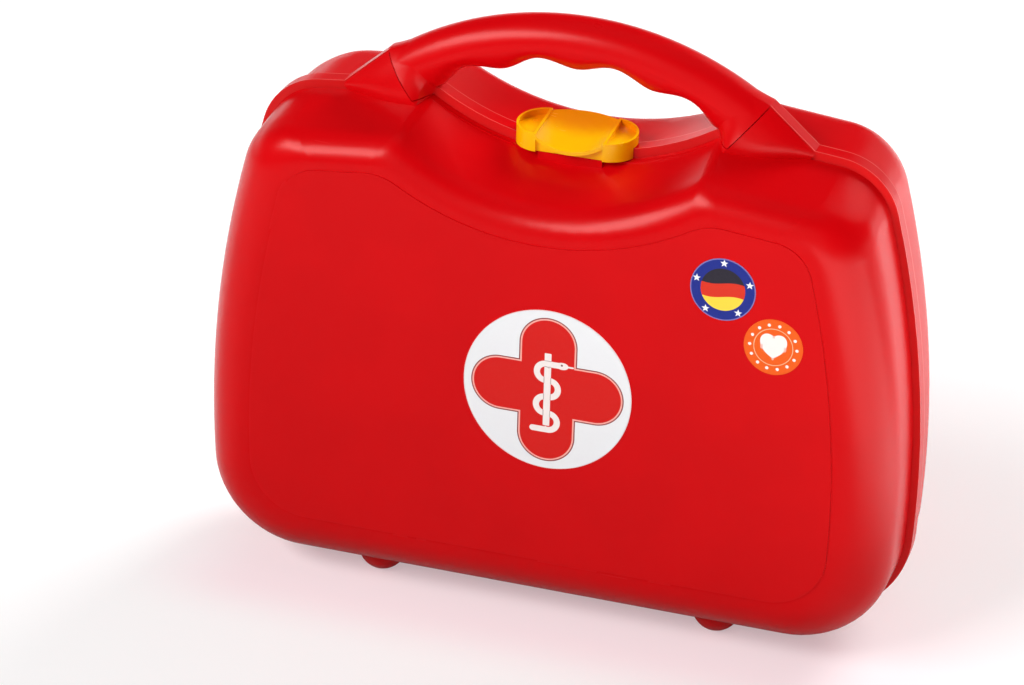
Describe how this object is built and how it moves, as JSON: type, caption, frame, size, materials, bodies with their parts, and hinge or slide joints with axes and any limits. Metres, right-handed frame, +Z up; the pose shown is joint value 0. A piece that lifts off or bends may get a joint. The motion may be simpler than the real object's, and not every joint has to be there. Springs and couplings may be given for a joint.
{
  "type": "toy doctor case",
  "caption": "Child's red moulded carry case with arched grip, bottom-hinged front lid, snap latch in a top saddle, small feet and round stickers.",
  "frame": {"origin": "on the floor under the middle of the standing case, in the seam plane between the two half shells", "axes": "+X to the right seen from the front, +Y to the back, +Z up"},
  "size_m": [0.2762, 0.0868, 0.2326],
  "materials": {
    "case_red": "satin moulded polypropylene",
    "grip_red": "satin moulded polypropylene",
    "latch_yellow": "glossy moulded plastic",
    "steel": "plain",
    "sticker_white": "printed film",
    "sticker_blue": "printed film",
    "sticker_orange": "printed film"
  },
  "bodies": {
    "tray": {"rear_shell": "case_red", "grip": "grip_red", "grip_screws": "steel", "hinge_pin_right": "steel", "hinge_pin_left": "steel", "latch_pin": "steel"},
    "lid": {"front_shell": "case_red", "sticker_cross": "sticker_white", "sticker_blue": "sticker_blue", "sticker_orange": "sticker_orange"},
    "latch": {"latch_clip": "latch_yellow"}
  },
  "joints": [
    {"name": "lid_hinge", "type": "hinge", "parent": "tray", "child": "lid", "pos_m": [0, 0, 0.0042], "axis": [1, 0, 0], "range_deg": [0, 135]},
    {"name": "latch_hinge", "type": "hinge", "parent": "tray", "child": "latch", "pos_m": [0, 0.0076, 0.1843], "axis": [-1, 0, 0], "range_deg": [0, 65]}
  ]
}
